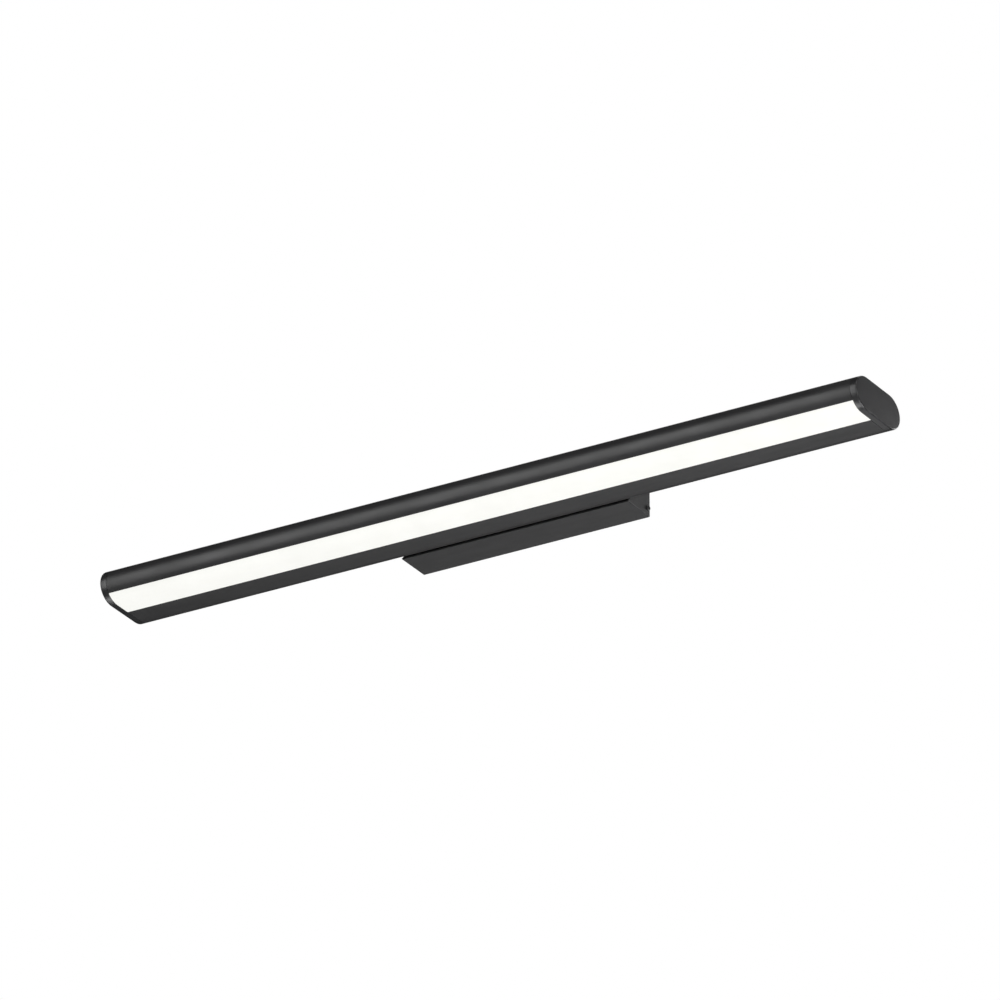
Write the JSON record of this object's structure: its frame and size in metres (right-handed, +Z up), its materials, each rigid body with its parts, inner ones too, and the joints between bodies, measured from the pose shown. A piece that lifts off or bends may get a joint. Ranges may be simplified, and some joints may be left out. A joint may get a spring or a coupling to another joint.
{
  "type": "vanity light bar",
  "caption": "Slim wall-mounted LED bar with rounded edges, an opal strip along its lower front edge and a shallow box that holds it off the wall.",
  "frame": {"origin": "middle of the wall plate's back face, which lies on the wall", "axes": "+X along the bar to the right of someone who faces the wall, +Y into the wall, +Z up"},
  "size_m": [0.6, 0.085, 0.025],
  "materials": {
    "bar_coat": "satin black powder coat on extruded aluminium",
    "box_coat": "satin black powder coat on steel",
    "cap_coat": "satin black moulding",
    "opal": "opal diffuser, lit",
    "black_plastic": "moulded",
    "white_plastic": "moulded",
    "rubber": "matt",
    "zinc_steel": "zinc plated",
    "black_steel": "blackened screw",
    "brass": "plain",
    "board_white": "white solder mask on an aluminium board",
    "board_green": "green solder mask on glass-fibre board",
    "tape_grey": "thermal tape",
    "ferrite": "ferrite core",
    "wire_brown": "PVC insulation",
    "wire_blue": "PVC insulation",
    "wire_green_yellow": "PVC insulation, green with a yellow stripe",
    "wire_red": "PVC insulation",
    "wire_black": "PVC insulation"
  },
  "bodies": {
    "root": {"bar_housing": "bar_coat", "bar_saddle_left": "black_plastic", "bar_saddle_right": "black_plastic", "bar_screw_left": "zinc_steel", "bar_screw_right": "zinc_steel", "board_link_black": "wire_black", "board_link_red": "wire_red", "bracket_cover": "box_coat", "diffuser": "opal", "driver_board": "board_green", "driver_capacitor": "black_plastic", "driver_case": "white_plastic", "driver_lid": "white_plastic", "driver_screw_left": "zinc_steel", "driver_screw_right": "zinc_steel", "driver_transformer": "ferrite", "earth_screw": "zinc_steel", "earth_tag": "zinc_steel", "earth_wire": "wire_green_yellow", "end_cap_left": "cap_coat", "end_cap_right": "cap_coat", "end_seal_left": "rubber", "end_seal_right": "rubber", "entry_grommet": "rubber", "lead_grommet": "rubber", "led_board_left": "board_white", "led_board_right": "board_white", "led_lead_black": "wire_black", "led_lead_red": "wire_red", "nut_bar": "zinc_steel", "side_screw_left": "black_steel", "side_screw_right": "black_steel", "supply_wire_live": "wire_brown", "supply_wire_neutral": "wire_blue", "terminal_block": "white_plastic", "terminal_screw_earth_left": "brass", "terminal_screw_earth_right": "brass", "terminal_screw_live_left": "brass", "terminal_screw_live_right": "brass", "terminal_screw_neutral_left": "brass", "terminal_screw_neutral_right": "brass", "terminal_sleeve_earth": "brass", "terminal_sleeve_live": "brass", "terminal_sleeve_neutral": "brass", "thermal_tape_left": "tape_grey", "thermal_tape_right": "tape_grey", "wall_plate": "zinc_steel"}
  },
  "joints": []
}
